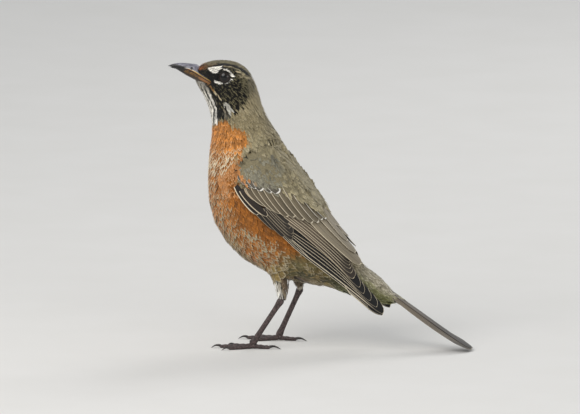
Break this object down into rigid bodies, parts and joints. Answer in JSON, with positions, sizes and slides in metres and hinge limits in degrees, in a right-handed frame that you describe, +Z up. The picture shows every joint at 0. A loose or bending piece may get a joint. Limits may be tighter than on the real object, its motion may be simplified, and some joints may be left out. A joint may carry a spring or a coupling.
{
  "type": "american robin",
  "caption": "American robin, a museum-style still model of a thrush standing alert on both feet, wings closed and tail tip resting on the floor.",
  "frame": {"origin": "centre of the whole bird in plan, at the level of the floor it stands on", "axes": "-X towards the bill, +X towards the tail, +Z up, so the left side of the bird is towards -Y"},
  "size_m": [0.1918, 0.0588, 0.1789],
  "materials": {
    "plumage_head": "soft head feathers",
    "plumage_breast": "soft breast feathers",
    "plumage_back": "soft back feathers",
    "plumage_thigh": "soft pale feathers",
    "flight_feathers": "stiff smooth feathers",
    "wing_coverts": "close smooth feathers",
    "upper_bill": "satin horn",
    "lower_bill": "satin horn",
    "leg_scales": "fine scales, satin",
    "claws": "satin horn",
    "eyes": "wet gloss"
  },
  "bodies": {
    "root": {"bill_lower": "lower_bill", "bill_upper": "upper_bill", "claw_left_hind": "claws", "claw_left_inner": "claws", "claw_left_middle": "claws", "claw_left_outer": "claws", "claw_right_hind": "claws", "claw_right_inner": "claws", "claw_right_middle": "claws", "claw_right_outer": "claws", "eye_left": "eyes", "eye_right": "eyes", "head": "plumage_head", "neck": "plumage_breast", "shank_left": "leg_scales", "shank_right": "leg_scales", "tail": "flight_feathers", "tail_coverts": "plumage_back", "thigh_left": "plumage_thigh", "thigh_right": "plumage_thigh", "toe_left_hind": "leg_scales", "toe_left_inner": "leg_scales", "toe_left_middle": "leg_scales", "toe_left_outer": "leg_scales", "toe_right_hind": "leg_scales", "toe_right_inner": "leg_scales", "toe_right_middle": "leg_scales", "toe_right_outer": "leg_scales", "trunk": "plumage_breast", "wing_left_greater_coverts": "wing_coverts", "wing_left_lesser_coverts": "wing_coverts", "wing_left_primaries": "flight_feathers", "wing_left_primary_coverts": "flight_feathers", "wing_left_scapulars": "wing_coverts", "wing_left_secondaries": "flight_feathers", "wing_left_tertials": "flight_feathers", "wing_right_greater_coverts": "wing_coverts", "wing_right_lesser_coverts": "wing_coverts", "wing_right_primaries": "flight_feathers", "wing_right_primary_coverts": "flight_feathers", "wing_right_scapulars": "wing_coverts", "wing_right_secondaries": "flight_feathers", "wing_right_tertials": "flight_feathers"}
  },
  "joints": []
}
